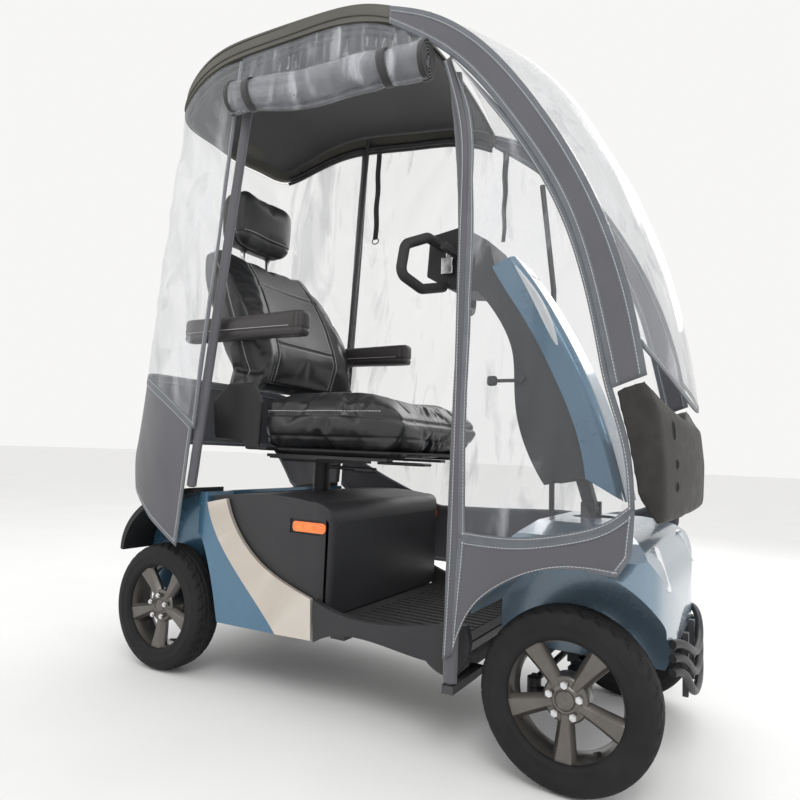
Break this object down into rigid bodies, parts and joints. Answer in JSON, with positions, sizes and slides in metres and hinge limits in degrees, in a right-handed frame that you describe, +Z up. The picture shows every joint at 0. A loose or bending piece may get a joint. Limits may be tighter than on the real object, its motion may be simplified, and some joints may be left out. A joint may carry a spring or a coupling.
{
  "type": "mobility scooter",
  "caption": "Four-wheeled mobility scooter with a full weather canopy, raked tiller, swivelling captain's seat and the door rolled up.",
  "frame": {"origin": "on the ground under the centre of the whole machine", "axes": "+X forward, +Y to the rider's left, +Z up"},
  "size_m": [1.474, 0.7234, 1.7554],
  "materials": {
    "tyre": "matt rubber",
    "alloy": "gunmetal grey paint, satin",
    "nut": "polished",
    "steel_black": "satin black powder coat",
    "machine": "painted casting",
    "battery": "matt case",
    "body_blue": "metallic steel blue, gloss",
    "trim": "champagne silver, satin",
    "charcoal": "fine grain, matt",
    "black_plastic": "textured black",
    "mat_rubber": "ribbed rubber",
    "reflector": "orange lens",
    "lamp": "clear lens over silver",
    "roof": "textured olive grey",
    "clear_pvc": "clear flexible film",
    "canopy_fabric": "coated grey fabric",
    "strap": "black webbing",
    "leather": "black leatherette",
    "arm_pad": "charcoal leatherette",
    "bright": "plated steel"
  },
  "bodies": {
    "chassis": {"chassis_frame": "steel_black", "floor_pan": "charcoal", "floor_mat": "mat_rubber", "battery_cover": "charcoal", "batteries": "battery", "transaxle": "machine", "rear_fairing": "body_blue", "rear_mudguards": "black_plastic", "side_trims": "trim", "side_reflectors": "reflector", "front_cowl": "body_blue", "headlamps": "lamp", "front_bumper": "steel_black", "front_axle": "steel_black", "front_shocks": "steel_black", "canopy_roof": "roof", "windscreen": "clear_pvc", "screen_strips": "canopy_fabric", "nose_moulding": "black_plastic", "front_panel_right": "clear_pvc", "side_panel_left": "clear_pvc", "side_skirts": "canopy_fabric", "rear_clear_panel": "clear_pvc", "rear_skirt": "canopy_fabric", "canopy_poles": "steel_black", "rolled_door": "clear_pvc", "hanging_straps": "strap"},
    "wheel_front_right": {"tyre_front_right": "tyre", "rim_front_right": "alloy", "wheel_nuts_front_right": "nut"},
    "wheel_front_left": {"tyre_front_left": "tyre", "rim_front_left": "alloy", "wheel_nuts_front_left": "nut"},
    "wheel_rear_right": {"tyre_rear_right": "tyre", "rim_rear_right": "alloy", "wheel_nuts_rear_right": "nut"},
    "wheel_rear_left": {"tyre_rear_left": "tyre", "rim_rear_left": "alloy", "wheel_nuts_rear_left": "nut"},
    "knuckle_right": {"knuckle_right": "steel_black"},
    "knuckle_left": {"knuckle_left": "steel_black"},
    "tie_rod": {"tie_rod": "steel_black"},
    "steering": {"steering_stem": "steel_black"},
    "tiller": {"tiller_spine": "steel_black", "tiller_cowl": "body_blue", "tiller_cover": "black_plastic", "handle_grips": "mat_rubber"},
    "throttle": {"throttle_lever": "black_plastic"},
    "tilt_release": {"tilt_lever": "black_plastic"},
    "dial": {"speed_dial": "black_plastic"},
    "key": {"ignition_key": "bright"},
    "seat_swivel": {"seat_base": "steel_black"},
    "seat_slide": {"seat_pan": "steel_black", "seat_cushion": "leather"},
    "back": {"backrest": "leather"},
    "head": {"headrest": "leather"},
    "arm_right": {"armrest_right": "arm_pad"},
    "arm_left": {"armrest_left": "arm_pad"},
    "slide_release": {"slide_lever": "steel_black"},
    "swivel_release": {"swivel_lever": "steel_black"}
  },
  "joints": [
    {"name": "wheel_front_right_spin", "type": "hinge", "parent": "knuckle_right", "child": "wheel_front_right", "pos_m": [0.545, -0.283, 0.165], "axis": [0, 1, 0], "continuous": true},
    {"name": "wheel_front_left_spin", "type": "hinge", "parent": "knuckle_left", "child": "wheel_front_left", "pos_m": [0.545, 0.283, 0.165], "axis": [0, 1, 0], "continuous": true},
    {"name": "wheel_rear_right_spin", "type": "hinge", "parent": "chassis", "child": "wheel_rear_right", "pos_m": [-0.545, -0.283, 0.165], "axis": [0, 1, 0], "continuous": true},
    {"name": "wheel_rear_left_spin", "type": "hinge", "parent": "chassis", "child": "wheel_rear_left", "pos_m": [-0.545, 0.283, 0.165], "axis": [0, 1, 0], "continuous": true},
    {"name": "steer", "type": "hinge", "parent": "chassis", "child": "steering", "pos_m": [0.52, 0, 0.48], "axis": [-0.4187, 0, 0.9081], "range_deg": [-16, 16]},
    {"name": "knuckle_right_turn", "type": "hinge", "parent": "chassis", "child": "knuckle_right", "pos_m": [0.545, -0.205, 0.165], "axis": [0, 0, 1], "range_deg": [-16.5, 16.5]},
    {"name": "knuckle_left_turn", "type": "hinge", "parent": "chassis", "child": "knuckle_left", "pos_m": [0.545, 0.205, 0.165], "axis": [0, 0, 1], "range_deg": [-16.5, 16.5]},
    {"name": "tie_rod_swing", "type": "hinge", "parent": "knuckle_right", "child": "tie_rod", "pos_m": [0.455, -0.205, 0.152], "axis": [0, 0, 1], "range_deg": [-16.5, 16.5]},
    {"name": "tiller_tilt", "type": "hinge", "parent": "steering", "child": "tiller", "pos_m": [0.515, 0, 0.49], "axis": [0, 1, 0], "range_deg": [-8, 16]},
    {"name": "throttle_squeeze", "type": "hinge", "parent": "tiller", "child": "throttle", "pos_m": [0.206, -0.07, 1.096], "axis": [0, 1, 0], "range_deg": [-10, 10], "stiffness_Nm_per_rad": 1.5},
    {"name": "tilt_release_pull", "type": "hinge", "parent": "tiller", "child": "tilt_release", "pos_m": [0.366, -0.073, 0.786], "axis": [0, 1, 0], "range_deg": [0, 16], "stiffness_Nm_per_rad": 2},
    {"name": "speed_dial_turn", "type": "hinge", "parent": "tiller", "child": "dial", "pos_m": [0.14, 0.014, 1.1766], "axis": [-0.1498, 0, 0.9887], "range_deg": [0, 270]},
    {"name": "ignition_turn", "type": "hinge", "parent": "tiller", "child": "key", "pos_m": [0.172, -0.07, 1.12], "axis": [0, -1, 0], "range_deg": [0, 30]},
    {"name": "seat_turn", "type": "hinge", "parent": "chassis", "child": "seat_swivel", "pos_m": [-0.258, 0, 0.5], "axis": [0, 0, 1], "range_deg": [-3, 3]},
    {"name": "seat_fore_aft", "type": "slide", "parent": "seat_swivel", "child": "seat_slide", "axis": [1, 0, 0], "range_m": [-0.01, 0.08]},
    {"name": "back_recline", "type": "hinge", "parent": "seat_slide", "child": "back", "pos_m": [-0.36, 0, 0.69], "axis": [0, 1, 0], "range_deg": [-2, 25]},
    {"name": "headrest_height", "type": "slide", "parent": "back", "child": "head", "axis": [0, 0, 1], "range_m": [-0.02, 0.05]},
    {"name": "arm_right_flip", "type": "hinge", "parent": "back", "child": "arm_right", "pos_m": [-0.46, -0.265, 0.915], "axis": [0, -1, 0], "range_deg": [0, 85]},
    {"name": "arm_left_flip", "type": "hinge", "parent": "back", "child": "arm_left", "pos_m": [-0.46, 0.265, 0.915], "axis": [0, -1, 0], "range_deg": [0, 85]},
    {"name": "slide_release_lift", "type": "hinge", "parent": "seat_slide", "child": "slide_release", "pos_m": [0.01, -0.094, 0.572], "axis": [0, -1, 0], "range_deg": [0, 7], "stiffness_Nm_per_rad": 3},
    {"name": "swivel_release_lift", "type": "hinge", "parent": "seat_swivel", "child": "swivel_release", "pos_m": [-0.15, -0.11, 0.556], "axis": [0, -1, 0], "range_deg": [0, 3], "stiffness_Nm_per_rad": 3}
  ],
  "couplings": [
    {"joint": "knuckle_right_turn", "follows": "steer", "ratio": 1},
    {"joint": "knuckle_left_turn", "follows": "steer", "ratio": 1},
    {"joint": "tie_rod_swing", "follows": "steer", "ratio": -1}
  ]
}
